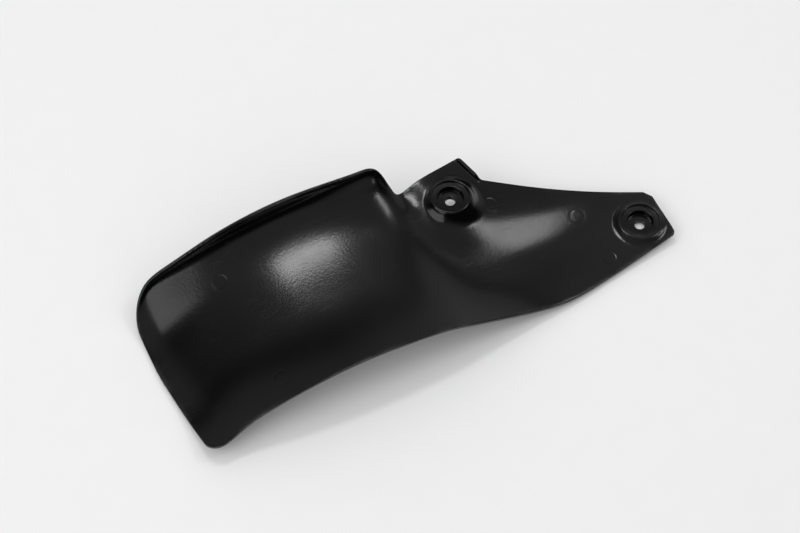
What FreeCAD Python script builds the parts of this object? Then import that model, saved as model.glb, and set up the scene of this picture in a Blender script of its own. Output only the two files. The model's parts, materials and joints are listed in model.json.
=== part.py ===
import FreeCAD, Part
import math
import os
from FreeCAD import Vector

# Motorcycle shock mud flap, one moulded piece, in millimetres.
# X runs along the flap from its lip to its tip, Y across it from the near edge to the flange, and Z up
# along the two screw cups. The flap lies as it rests on a table.

# Free sizes of the outline, the wall and the screw cups.
SIZES = {
    "wall": 2.4,
    "floor_shift": 3.0,
    "edge_spare": 5.0,
    "far_spare": 16.0,
    "cut_reach": 60.0,
    "box_grain": 0.05,
    "lip_spare": 2.0,
    "lip_setback": 7.8,
    "lip_bend_across": 10.0,
    "lip_bend_radius": 180.0,
    "lip_far_radius": 30.0,
    "lip_near_radius": 10.0,
    "near_corner_reach": 60.3,
    "near_edge_reach": 55.0,
    "near_waist_place": 34.0,
    "near_waist_radius": 90.0,
    "near_bend_radius": 160.0,
    "flange_reach": 67.5,
    "flange_clear": 4.0,
    "flange_corner_radius": 14.0,
    "flange_end_slant": 5.2,
    "notch_run": -2.9,
    "notch_across": 51.8,
    "notch_radius": 2.0,
    "tab_corner_run": 13.2,
    "tab_reach": 62.5,
    "tab_corner_radius": 5.0,
    "tab_side_slant": 7.2,
    "tab_foot_across": 43.0,
    "tab_foot_radius": 6.0,
    "tip_near_reach": 40.0,
    "tip_near_radius": 3.0,
    "tip_far_reach": 9.6,
    "tip_chamfer_run": 4.0,
    "tip_chamfer_rise": 5.5,
    "tip_corner_radius": 1.0,
    "tip_spare": 3.5,
    "rib_width": 2.2,
    "rib_rise": 2.6,
    "rib_bite": 1.2,
    "pocket_radius": 12.3,
    "pocket_depth": 1.7,
    "recess_radius": 8.6,
    "recess_depth": 4.3,
    "cup_floor": 2.5,
    "cup_wall": 2.2,
    "hole_radius": 3.3,
    "collar_land": 1.0,
    "collar_draft": 3.0,
    "collar_drop": 8.0,
    "collar_bite": 1.9,
    "tab_cup_back": 5.4,
    "tab_cup_across": 35.4,
    "tab_cup_rise": 3.0,
    "tip_cup_back": 16.0,
    "tip_cup_across": -21.8,
    "tip_cup_rise": 0.7,
    "lip_middle_run": 10.0,
    "lip_root_run": 5.5,
    "ramp_foot_run": 5.5,
    "ramp_low_run": 19.0,
    "ramp_run": 27.0,
    "crest_run": 40.0,
    "shoulder_run": 35.0,
    "wing_run": 24.0,
    "flange_end_run": 13.0,
    "groove_run": 9.0,
    "step_run": 12.0,
    "tab_run": 22.0,
    "tab_end_run": 23.0,
    "valley_run": 29.0,
    "neck_run": 33.0,
    "tip_root_run": 20.0,
    "tip_run": 20.0,
}

# Cross-sections of the sheet, one row each, from the lip to the tip.
SECTION_SIZES = ("floor", "near_rise", "bank_rise", "wall_run", "rim_rise")
SECTIONS = {
    "lip_edge": (2.4, 11.3, -1.8, 26.0, 18.2),
    "lip_middle": (3.5, 11.1, -1.2, 27.5, 16.7),
    "lip_root": (4.5, 10.9, -0.3, 27.3, 15.9),
    "ramp_foot": (6.1, 11.1, 1.1, 26.4, 15.1),
    "ramp_low": (13.3, 9.8, 3.7, 16.8, 12.6),
    "ramp": (21.7, 9.2, 7.0, 9.4, 12.3),
    "crest": (30.3, 7.9, 7.1, 5.0, 11.4),
    "shoulder": (29.5, 6.5, 7.0, 11.6, 12.1),
    "wing": (27.8, 5.3, 3.0, 31.4, 16.4),
    "flange_end": (24.2, 5.4, 5.2, 45.0, 18.9),
    "groove": (19.0, 6.4, 3.0, 31.0, 9.5),
    "step": (14.4, 7.0, 14.4, 47.0, 6.6),
    "tab": (10.8, 2.3, 15.0, 54.0, 6.0),
    "tab_end": (8.8, -2.8, 9.9, 48.0, 9.4),
    "valley": (5.3, -1.5, 8.7, 36.0, 4.2),
    "neck": (5.9, -1.9, 4.8, 19.0, 2.2),
    "tip_root": (7.6, -1.6, 3.0, 16.0, 2.2),
    "tip": (9.2, -1.6, 2.2, 12.5, 2.2),
}

# Share of the lip edge's slant that a section follows.
SWEEPS = {"lip_edge": 1.0, "lip_middle": 1.0, "lip_root": 1.0, "ramp_foot": 1.0, "ramp_low": 0.4}

# Where the rails of the sheet lie within a section: share of the way across, share of the rise.
NEAR_RAILS = ((0.22, 0.55), (0.62, 0.08))
BANK_RAIL = (0.55, 0.25)
WALL_RAIL = (0.62, 0.46)
DEGREE = 3

os.makedirs("parts", exist_ok=True)
doc = FreeCAD.newDocument("mud_flap")


def write_sheet():
    """Spreadsheet of every driving size, each in a cell with its own alias."""
    sheet = doc.addObject("Spreadsheet::Sheet", "dims")
    rows = dict(SIZES)
    for section, values in SECTIONS.items():
        for quantity, value in zip(SECTION_SIZES, values):
            rows[f"{section}_{quantity}"] = value
    for line, (alias, value) in enumerate(rows.items(), start=1):
        sheet.set(f"A{line}", alias)
        sheet.set(f"B{line}", str(value))
        sheet.setAlias(f"B{line}", alias)
    doc.recompute()
    return sheet


dims = write_sheet()


def size(alias):
    """Value of one cell of the sheet."""
    return float(getattr(dims, alias))


def station_places():
    """Place of each section along the flap, measured from the lip edge."""
    first, *others = SECTIONS
    place = -size("lip_spare")
    places = {first: place}
    for section in others:
        place += size(f"{section}_run")
        places[section] = place
    return places


place = station_places()
tip_end = place["tip"] - size("tip_spare")
tab_corner_x = place["tab"] + size("tab_corner_run")
tab_foot_x = tab_corner_x + size("tab_side_slant")
notch_x = place["groove"] + size("notch_run")


def straight(x, first, last):
    """Across value at x on the straight line through two plan points."""
    share = (x - first[0]) / (last[0] - first[0])
    return first[1] + share * (last[1] - first[1])


# Corner points of the plan outline.
rim_line = size("flange_reach") + size("flange_clear")
lip_far = (0.0, rim_line)
lip_bend = (0.0, size("lip_bend_across"))
lip_near = (size("lip_setback"), -size("near_corner_reach"))
near_waist = (size("near_waist_place"), -size("near_edge_reach"))
near_bend = (0.5 * (place["tab_end"] + place["valley"]), -size("near_edge_reach"))
tip_near = (tip_end, -size("tip_near_reach"))
tip_far = (tip_end, -size("tip_far_reach"))
tip_chamfer = (tip_end - size("tip_chamfer_run"), -size("tip_far_reach") + size("tip_chamfer_rise"))
tab_foot = (tab_foot_x, size("tab_foot_across"))
tab_corner = (tab_corner_x, size("tab_reach"))
notch = (notch_x, size("notch_across"))
flange_end = (notch_x - size("flange_end_slant"), rim_line)

OUTLINE = (
    (lip_far, "lip_far_radius"),
    (lip_bend, "lip_bend_radius"),
    (lip_near, "lip_near_radius"),
    (near_waist, "near_waist_radius"),
    (near_bend, "near_bend_radius"),
    (tip_near, "tip_near_radius"),
    (tip_far, "tip_corner_radius"),
    (tip_chamfer, "tip_corner_radius"),
    (tab_foot, "tab_foot_radius"),
    (tab_corner, "tab_corner_radius"),
    (notch, "notch_radius"),
    (flange_end, "flange_corner_radius"),
)


def near_limit(x):
    """Near edge of the outline at x, along its straight stretches."""
    if x < near_waist[0]:
        return straight(x, lip_near, near_waist)
    if x < near_bend[0]:
        return near_waist[1]
    return straight(x, near_bend, tip_near)


def far_limit(x):
    """Rim of the sheet at x: the flange's, then one that clears the tapering far edge."""
    taper = straight(x, tab_foot, tip_chamfer) + size("far_spare")
    return min(size("flange_reach"), taper)


def section_poles(section):
    """Control points of one cross-section, from the near edge over the floor and bank to the rim."""
    floor, near_rise, bank_rise, wall_run, rim_rise = (size(f"{section}_{q}") for q in SECTION_SIZES)
    x = place[section]
    near = near_limit(x)
    rim = far_limit(x)
    foot = rim - wall_run
    middle = 0.5 * (near + foot) - size("floor_shift")
    half = middle - near
    (first_share, first_rise), last_rail = NEAR_RAILS
    spare_slope = (1.0 - first_rise) / (first_share * half)
    bank_top = floor + bank_rise
    points = [
        (near - size("edge_spare"), floor + near_rise * (1.0 + spare_slope * size("edge_spare"))),
        (near + first_share * half, floor + first_rise * near_rise),
        (near + last_rail[0] * half, floor + last_rail[1] * near_rise),
        (middle, floor),
        (middle + BANK_RAIL[0] * (foot - middle), floor + BANK_RAIL[1] * bank_rise),
        (foot, bank_top),
        (foot + WALL_RAIL[0] * wall_run, bank_top + WALL_RAIL[1] * rim_rise),
        (rim, bank_top + rim_rise),
    ]
    slant = SWEEPS.get(section, 0.0) * lip_near[0] / (lip_bend[1] - lip_near[1])
    return [Vector(x + slant * max(0.0, lip_bend[1] - y), y, z) for y, z in points]


def clamped_knots(count):
    """Knots and multiplicities of a clamped, evenly spaced spline with so many poles."""
    spans = count - DEGREE
    knots = [i / spans for i in range(spans + 1)]
    multiplicities = [DEGREE + 1] + [1] * (spans - 1) + [DEGREE + 1]
    return knots, multiplicities


def make_skin():
    """Upper surface of the sheet, one smooth face through all sections."""
    poles = [section_poles(section) for section in SECTIONS]
    along, along_mults = clamped_knots(len(poles))
    across, across_mults = clamped_knots(len(poles[0]))
    surface = Part.BSplineSurface()
    surface.buildFromPolesMultsKnots(
        poles, along_mults, across_mults, along, across, False, False, DEGREE, DEGREE)
    skin = doc.addObject("Part::Feature", "skin")
    skin.Shape = surface.toShape()
    return skin


skin = make_skin()


def skin_height(x, y):
    """Height of the upper surface over a plan point."""
    reach = size("cut_reach")
    upright = Part.makeLine(Vector(x, y, -reach), Vector(x, y, reach))
    return skin.Shape.distToShape(upright)[1][0][0].z


def make_layer(name, below, above):
    """Solid layer along the sheet, from an expression's depth below the skin to another's above it."""
    roof = doc.addObject("Part::Offset", f"{name}_roof")
    roof.Source = skin
    roof.setExpression("Value", above)
    layer = doc.addObject("Part::Offset", f"{name}_layer")
    layer.Source = roof
    layer.Fill = True
    layer.setExpression("Value", f"-({above}) - ({below})")
    return layer


def make_sheet():
    """The sheet at its wall thickness, below the skin."""
    sheet = doc.addObject("Part::Offset", "sheet")
    sheet.Source = skin
    sheet.Fill = True
    sheet.setExpression("Value", "-dims.wall")
    return sheet


def plan(point, height=0.0):
    """Vector of a plan point."""
    return Vector(point[0], point[1], height)


def corner_arc(before, corner, after, radius):
    """Arc of a rounded corner."""
    to_before = (before - corner).normalize()
    to_after = (after - corner).normalize()
    half_angle = 0.5 * to_before.getAngle(to_after)
    tangent = radius / math.tan(half_angle)
    inward = (to_before + to_after).normalize()
    centre = corner + inward * (radius / math.sin(half_angle))
    return Part.Arc(corner + to_before * tangent, centre - inward * radius, corner + to_after * tangent)


def make_prism(name, edges):
    """Upright prism on a closed sketch in plan, from under the flap to above it."""
    sketch = doc.addObject("Sketcher::SketchObject", f"{name}_sketch")
    sketch.setExpression("Placement.Base.z", "-dims.cut_reach")
    for edge in edges:
        sketch.addGeometry(edge)
    prism = doc.addObject("Part::Extrusion", name)
    prism.Base = sketch
    prism.Dir = Vector(0.0, 0.0, 1.0)
    prism.DirMode = "Custom"
    prism.setExpression("LengthFwd", "2 * dims.cut_reach")
    prism.Solid = True
    return prism


def outline_edges():
    """Arcs and straight lines of the rounded plan outline."""
    corners = [plan(point) for point, radius in OUTLINE]
    arcs = []
    for i, (point, radius) in enumerate(OUTLINE):
        after = corners[(i + 1) % len(corners)]
        arcs.append(corner_arc(corners[i - 1], corners[i], after, size(radius)))
    edges = []
    for arc, following in zip(arcs, arcs[1:] + arcs[:1]):
        edges.append(arc)
        edges.append(Part.LineSegment(arc.EndPoint, following.StartPoint))
    return edges


def polygon(ring):
    """Straight edges round a closed ring of points."""
    return [Part.LineSegment(a, b) for a, b in zip(ring, ring[1:] + ring[:1])]


def rib_edges():
    """Outline of the strip that the tab's upturned side stands on."""
    top = plan(tab_corner)
    foot = plan(tab_foot)
    along = (foot - top).normalize()
    inward = Vector(along.y, -along.x, 0.0) * size("rib_width")
    top = top - along * size("tab_corner_radius")
    return polygon([top, foot, foot + inward, top + inward])


def fuse(name, shapes):
    """Union of several objects."""
    union = doc.addObject("Part::MultiFuse", name)
    union.Shapes = shapes
    return union


def common(name, first, second):
    """Material that two objects share."""
    shared = doc.addObject("Part::MultiCommon", name)
    shared.Shapes = [first, second]
    return shared


def make_cylinder(name, radius, top, height, spot):
    """Upright cylinder at a cup, its radius, top and height given as expressions over the cup's rim."""
    cylinder = doc.addObject("Part::Cylinder", name)
    cylinder.setExpression("Radius", radius)
    cylinder.setExpression("Height", height)
    cylinder.Placement.Base = spot
    cylinder.setExpression("Placement.Base.z", f"{spot.z} + ({top}) - ({height})")
    return cylinder


def make_collar(name, spot):
    """Collar round a cup: a narrow flat land and a drafted side."""
    land = size("pocket_radius") + size("collar_land")
    foot = land + size("collar_draft")
    drop = size("collar_drop")
    ring = [
        Vector(0.0, 0.0),
        Vector(land, 0.0),
        Vector(foot, -drop),
        Vector(0.0, -drop),
    ]
    sketch = doc.addObject("Sketcher::SketchObject", f"{name}_sketch")
    sketch.Placement.Rotation = FreeCAD.Rotation(Vector(1.0, 0.0, 0.0), 90.0)
    for edge in polygon(ring):
        sketch.addGeometry(edge)
    collar = doc.addObject("Part::Revolution", name)
    collar.Source = sketch
    collar.Axis = Vector(0.0, 0.0, 1.0)
    collar.Angle = 360.0
    collar.Solid = True
    collar.Placement.Base = spot
    return collar


def make_cup(name, spot):
    """Stepped screw cup: what it adds to the sheet and what it takes away."""
    seat = "dims.pocket_depth + dims.recess_depth"
    added = [
        make_cylinder(f"{name}_step", "dims.pocket_radius + dims.collar_land", "0",
                      "dims.pocket_depth + dims.cup_wall", spot),
        make_cylinder(f"{name}_well", "dims.recess_radius + dims.cup_wall", "-dims.pocket_depth",
                      "dims.recess_depth + dims.cup_floor", spot),
    ]
    taken = [
        make_cylinder(f"{name}_pocket", "dims.pocket_radius", "dims.cut_reach",
                      "dims.pocket_depth + dims.cut_reach", spot),
        make_cylinder(f"{name}_recess", "dims.recess_radius", "0", seat, spot),
        make_cylinder(f"{name}_hole", "dims.hole_radius", "0", f"{seat} + dims.cut_reach", spot),
    ]
    return added, taken


outline = make_prism("outline_block", outline_edges())
rib_strip = make_prism("rib_block", rib_edges())
tab_cup_x = place["tab"] - size("tab_cup_back")
tip_cup_x = tip_end - size("tip_cup_back")
cup_spots = {}
for cup, x in (("tab_cup", tab_cup_x), ("tip_cup", tip_cup_x)):
    y = size(f"{cup}_across")
    cup_spots[cup] = Vector(x, y, skin_height(x, y) + size(f"{cup}_rise"))

rib = common("tab_rib", rib_strip, make_layer("rib", "dims.rib_bite", "dims.rib_rise"))
blank = common("blank", outline, fuse("ribbed_sheet", [make_sheet(), rib]))
collar_layer = make_layer("collar", "dims.collar_bite", "dims.collar_drop")
added = [blank]
taken = []
for cup, spot in cup_spots.items():
    added.append(common(f"{cup}_collar_foot", make_collar(f"{cup}_collar", spot), collar_layer))
    more, less = make_cup(cup, spot)
    added.extend(more)
    taken.extend(less)
moulding = doc.addObject("Part::Cut", "moulding")
moulding.Base = fuse("blank_with_cups", added)
moulding.Tool = fuse("cup_voids", taken)
doc.recompute()


def seat_on_table(shape):
    """Move that puts the middle of the shape's box over the origin and its lowest point on Z = 0."""
    box = FreeCAD.BoundBox()
    for point in shape.tessellate(size("box_grain"))[0]:
        box.add(point)
    return Vector(-box.Center.x, -box.Center.y, -box.ZMin)


flap = doc.addObject("Part::Feature", "mud_flap")
flap.Label = "mud_flap"
flap.Shape = moulding.Shape.removeSplitter().Solids[0]
flap.Placement.Base = seat_on_table(flap.Shape)
doc.recompute()

for item in doc.Objects:
    if "Invalid" in item.State or "Error" in item.State:
        raise RuntimeError(f"{item.Name} did not build: {item.State}")
if len(moulding.Shape.Solids) != 1:
    raise RuntimeError(f"the moulding has {len(moulding.Shape.Solids)} solids instead of one")
if flap.Shape.isNull() or not flap.Shape.isValid():
    raise RuntimeError("the flap's solid isn't valid")
flap.Shape.exportStep(f"parts/{flap.Label}.step")
print(f"{flap.Label}: {flap.Shape.Volume / 1000.0:.1f} cm3")
for cup, spot in cup_spots.items():
    centre = spot + flap.Placement.Base
    print(f"{cup}: rim centre at {centre.x:.3f}, {centre.y:.3f}, {centre.z:.3f}")
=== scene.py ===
import json
import logging
import math
from dataclasses import dataclass, field
from enum import Enum

import bpy
import numpy as np
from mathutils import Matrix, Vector
from mathutils.geometry import delaunay_2d_cdt


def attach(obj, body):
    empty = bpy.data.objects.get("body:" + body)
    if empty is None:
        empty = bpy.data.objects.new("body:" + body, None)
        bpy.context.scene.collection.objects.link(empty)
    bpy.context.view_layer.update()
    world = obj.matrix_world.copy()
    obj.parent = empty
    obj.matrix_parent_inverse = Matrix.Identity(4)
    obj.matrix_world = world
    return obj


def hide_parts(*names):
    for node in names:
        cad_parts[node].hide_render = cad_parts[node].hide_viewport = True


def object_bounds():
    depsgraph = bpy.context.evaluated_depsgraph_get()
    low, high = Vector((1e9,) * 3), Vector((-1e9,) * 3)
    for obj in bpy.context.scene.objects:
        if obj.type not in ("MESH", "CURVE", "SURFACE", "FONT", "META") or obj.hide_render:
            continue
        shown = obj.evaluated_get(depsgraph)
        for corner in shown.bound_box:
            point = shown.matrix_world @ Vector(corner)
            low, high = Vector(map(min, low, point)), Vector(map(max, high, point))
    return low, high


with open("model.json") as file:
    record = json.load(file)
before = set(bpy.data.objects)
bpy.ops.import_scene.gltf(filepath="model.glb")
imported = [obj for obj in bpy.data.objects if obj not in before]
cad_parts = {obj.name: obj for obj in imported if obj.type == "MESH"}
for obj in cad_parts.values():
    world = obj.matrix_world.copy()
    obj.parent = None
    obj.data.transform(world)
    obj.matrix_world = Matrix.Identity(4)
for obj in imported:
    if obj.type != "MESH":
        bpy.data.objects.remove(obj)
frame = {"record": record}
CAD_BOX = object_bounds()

LOG = logging.getLogger("mud_flap")
METRE = 0.001
TINY = 1e-6
AIM = (170.55, 19.04, 0.0)
GRAIN_SCALES = {"Height": 620.0, "Mottle": 55.0}
SCRATCH_TURNS = (0.5, -0.9)
SCRATCH_STRETCH = (22.0, 1300.0, 400.0)
SCRATCH_THIN = (0.68, 0.74)
PATCH_SCALE = 28.0
PATCH_SPAN = (0.48, 0.62)
Points = np.ndarray
Pair = tuple[float, float]
Triple = tuple[float, float, float]
Tree = bpy.types.NodeTree
Socket = bpy.types.NodeSocket
Source = Socket | float | tuple[float, ...]


def smooth_step(low: float, high: float, value: Points) -> Points:
    """Rise smoothly from 0 at low to 1 at high."""
    share = np.clip((value - low) / (high - low), 0.0, 1.0)
    return share * share * (3.0 - 2.0 * share)


def smooth_top(first: Points, second: Points, blend: float | Points) -> Points:
    """Take the higher of two heights, with a fillet of the blend's height where they meet."""
    share = np.clip(0.5 + 0.5 * (first - second) / blend, 0.0, 1.0)
    return second + (first - second) * share + blend * share * (1.0 - share)


def apart_from(plan: Points, starts: Points, ends: Points) -> Points:
    """Distance of plan points from the nearest of some straight stretches.

    Args:
        plan: Plan points.
        starts: First point of each stretch.
        ends: Last point of each stretch.

    Returns:
        One distance per plan point.
    """
    apart = np.full(len(plan), np.inf)
    for start, run in zip(starts, ends - starts):
        share = np.clip((plan - start) @ run / (run @ run), 0.0, 1.0)
        away = plan - start - share[:, None] * run
        apart = np.minimum(apart, np.hypot(away[:, 0], away[:, 1]))
    return apart


def runs_left(ring: Points) -> bool:
    """Tell whether a closed ring of plan points runs to the left."""
    after = np.roll(ring, -1, axis=0)
    return bool(np.sum(ring[:, 0] * after[:, 1] - ring[:, 1] * after[:, 0]) > 0.0)


def inside(points: Points, ring: Points) -> Points:
    """Tell which plan points lie inside a closed ring.

    Args:
        points: Plan points.
        ring: Points of the ring, in order.

    Returns:
        One truth value per point.
    """
    odd = np.zeros(len(points), bool)
    for first, last in zip(ring, np.roll(ring, -1, axis=0)):
        if first[1] == last[1]:
            continue
        spans = (first[1] > points[:, 1]) != (last[1] > points[:, 1])
        crossing = first[0] + (points[:, 1] - first[1]) * (last[0] - first[0]) / (last[1] - first[1])
        odd ^= spans & (points[:, 0] < crossing)
    return odd


def spline_weights(count: int, places: Points, degree: int = 3) -> Points:
    """Weights of the poles of a clamped, evenly knotted spline.

    Args:
        count: Number of poles.
        places: Parameters from 0 to 1.
        degree: Degree of the spline.

    Returns:
        One row of weights for each parameter.
    """
    inner = np.linspace(0.0, 1.0, count - degree + 1)
    knots = np.concatenate([np.zeros(degree), inner, np.ones(degree)])
    at = np.clip(places, 0.0, 1.0 - 1e-12)[:, None]
    weights = ((at >= knots[None, :-1]) & (at < knots[None, 1:])).astype(float)
    for order in range(1, degree + 1):
        rise = knots[order:-1] - knots[:-order - 1]
        fall = knots[order + 1:] - knots[1:-order]
        up = np.where(rise > 0, (at - knots[:-order - 1]) / np.where(rise > 0, rise, 1.0), 0.0)
        down = np.where(fall > 0, (knots[order + 1:] - at) / np.where(fall > 0, fall, 1.0), 0.0)
        weights = up * weights[:, :-1] + down * weights[:, 1:]
    return weights


def add_object(name: str, data: bpy.types.ID) -> bpy.types.Object:
    """Put a mesh, a light or a camera into the scene.

    Args:
        name: Name of the object.
        data: What the object shows.

    Returns:
        The object.
    """
    made = bpy.data.objects.new(name, data)
    bpy.context.scene.collection.objects.link(made)
    return made


def add_node(tree: Tree, kind: str, inputs: dict[str | int, Source], **settings: object) -> bpy.types.Node:
    """Add a node to a tree.

    Args:
        tree: Node tree to add to.
        kind: Type of the node.
        inputs: Sources or constant values by socket.
        settings: Properties of the node.

    Returns:
        The node.
    """
    node = tree.nodes.new(kind)
    for name, value in settings.items():
        setattr(node, name, value)
    for socket, source in inputs.items():
        if isinstance(source, Socket):
            tree.links.new(source, node.inputs[socket])
        else:
            node.inputs[socket].default_value = source
    return node


def multiply_add(tree: Tree, value: Source, factor: Source, extra: Source, clamp: bool = False) -> Socket:
    """Multiply a value by a factor and add another one, held between 0 and 1 if it is clamped."""
    sums = {0: value, 1: factor, 2: extra}
    return add_node(tree, "ShaderNodeMath", sums, operation="MULTIPLY_ADD", use_clamp=clamp).outputs[0]


def map_span(tree: Tree, value: Socket, span: Pair, ends: Pair = (0.0, 1.0), curve: str = "LINEAR") -> Socket:
    """Map a value from a span to other end values, and hold it at the ends."""
    inputs = dict(zip(("Value", "From Min", "From Max", "To Min", "To Max"), (value, *span, *ends)))
    return add_node(tree, "ShaderNodeMapRange", inputs, interpolation_type=curve).outputs["Result"]


def mix_colours(tree: Tree, share: Socket, first: Triple, last: Triple) -> Socket:
    """Mix two colours by a share."""
    node = add_node(tree, "ShaderNodeMix", {0: share, 6: (*first, 1.0), 7: (*last, 1.0)}, data_type="RGBA")
    return node.outputs[2]


class Effect(Enum):
    """Surface effects that the materials share."""

    GRAIN = "moulded_grain"
    SCRATCHES = "fine_scratches"

    def place_in(self, tree: Tree, place: Socket) -> bpy.types.Node:
        """Place the effect's node group in a material.

        Args:
            tree: Node tree of the material.
            place: Coordinates that the effect follows.

        Returns:
            The group's node.
        """
        makers = {Effect.GRAIN: self.make_grain, Effect.SCRATCHES: self.make_scratches}
        group = bpy.data.node_groups.get(self.value) or makers[self]()
        return add_node(tree, "ShaderNodeGroup", {"Place": place}, node_tree=group)

    def start(self, outputs: tuple[str, ...]) -> tuple[Tree, Socket, bpy.types.Node]:
        """Start the node group with an input for the place.

        Args:
            outputs: Names of the values that the group gives.

        Returns:
            The tree, its place socket and its output node.
        """
        tree = bpy.data.node_groups.new(self.value, "ShaderNodeTree")
        tree.interface.new_socket("Place", in_out="INPUT", socket_type="NodeSocketVector")
        for name in outputs:
            tree.interface.new_socket(name, in_out="OUTPUT", socket_type="NodeSocketFloat")
        place = tree.nodes.new("NodeGroupInput").outputs["Place"]
        return tree, place, tree.nodes.new("NodeGroupOutput")

    def make_grain(self) -> Tree:
        """Build the grain: a fine height and a slow mottle, both from 0 to 1.

        Returns:
            The node group.
        """
        tree, place, out = self.start(tuple(GRAIN_SCALES))
        for name, scale in GRAIN_SCALES.items():
            noise = add_node(tree, "ShaderNodeTexNoise", {"Vector": place, "Scale": scale, "Detail": 3.0})
            tree.links.new(noise.outputs["Fac"], out.inputs[name])
        return tree

    def make_scratches(self) -> Tree:
        """Build the scratches: a mask of thin lines that run two ways in loose patches.

        Returns:
            The node group.
        """
        tree, place, out = self.start(("Mask",))
        lines = []
        for turn in SCRATCH_TURNS:
            bent = add_node(tree, "ShaderNodeMapping",
                            {"Vector": place, "Rotation": (0.0, 0.0, turn), "Scale": SCRATCH_STRETCH})
            noise = add_node(tree, "ShaderNodeTexNoise",
                             {"Vector": bent.outputs["Vector"], "Scale": 1.0, "Detail": 1.0})
            lines.append(map_span(tree, noise.outputs["Fac"], SCRATCH_THIN))
        both = add_node(tree, "ShaderNodeMath", {0: lines[0], 1: lines[1]}, operation="MAXIMUM")
        patches = add_node(tree, "ShaderNodeTexNoise", {"Vector": place, "Scale": PATCH_SCALE, "Detail": 2.0})
        loose = map_span(tree, patches.outputs["Fac"], PATCH_SPAN)
        mask = add_node(tree, "ShaderNodeMath", {0: both.outputs["Value"], 1: loose}, operation="MULTIPLY")
        tree.links.new(mask.outputs["Value"], out.inputs["Mask"])
        return tree


@dataclass(frozen=True)
class SatinPlastic:
    """Satin black moulded plastic with a fine grain, thin scratches and worn edges."""

    name: str = "satin_black_plastic"
    colour: Triple = (0.0012, 0.0012, 0.0013)
    worn: Triple = (0.022, 0.022, 0.023)
    roughness: float = 0.17
    mottle: float = 0.08
    scratch: float = 0.1
    scratch_tint: float = 0.12
    wear_patch: Pair = (0.45, 0.75)
    grain: float = 0.00004

    def material(self) -> bpy.types.Material:
        """Build the material.

        Returns:
            The material.
        """
        material = bpy.data.materials.new(self.name)
        material.use_nodes = True
        tree = material.node_tree
        shader = tree.nodes["Principled BSDF"]
        place = add_node(tree, "ShaderNodeTexCoord", {}).outputs["Object"]
        grain = Effect.GRAIN.place_in(tree, place)
        lines = Effect.SCRATCHES.place_in(tree, place).outputs["Mask"]
        mottle = grain.outputs["Mottle"]
        edge = add_node(tree, "ShaderNodeAttribute", {}, attribute_name="edge_share")
        patchy = map_span(tree, mottle, self.wear_patch)
        wear = multiply_add(tree, edge.outputs["Fac"], patchy, 0.0)
        faint = multiply_add(tree, lines, self.scratch_tint, wear, clamp=True)
        tint = mix_colours(tree, faint, self.colour, self.worn)
        rough = multiply_add(tree, mottle, self.mottle, self.roughness - 0.5 * self.mottle)
        for mask in (lines, wear):
            rough = multiply_add(tree, mask, self.scratch, rough)
        bump = add_node(tree, "ShaderNodeBump", {"Height": grain.outputs["Height"], "Distance": self.grain})
        tree.links.new(tint, shader.inputs["Base Color"])
        tree.links.new(rough, shader.inputs["Roughness"])
        tree.links.new(bump.outputs["Normal"], shader.inputs["Normal"])
        return material


@dataclass(frozen=True)
class PalePaper:
    """Pale matt paper of the studio floor, faintly mottled."""

    name: str = "floor_paper"
    colour: Triple = (0.87, 0.87, 0.872)
    shaded: Triple = (0.85, 0.85, 0.853)
    roughness: float = 0.9
    gloss: float = 0.1

    def material(self) -> bpy.types.Material:
        """Build the material.

        Returns:
            The material.
        """
        material = bpy.data.materials.new(self.name)
        material.use_nodes = True
        tree = material.node_tree
        shader = tree.nodes["Principled BSDF"]
        place = add_node(tree, "ShaderNodeTexCoord", {}).outputs["Object"]
        mottle = Effect.GRAIN.place_in(tree, place).outputs["Mottle"]
        tree.links.new(mix_colours(tree, mottle, self.colour, self.shaded), shader.inputs["Base Color"])
        shader.inputs["Roughness"].default_value = self.roughness
        shader.inputs["Specular IOR Level"].default_value = self.gloss
        return material


@dataclass(frozen=True)
class Section:
    """One cross-section of the sheet, in millimetres."""

    run: float
    floor: float
    near_rise: float
    bank_rise: float
    wall_run: float
    rim_rise: float
    sweep: float = 0.0


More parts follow.
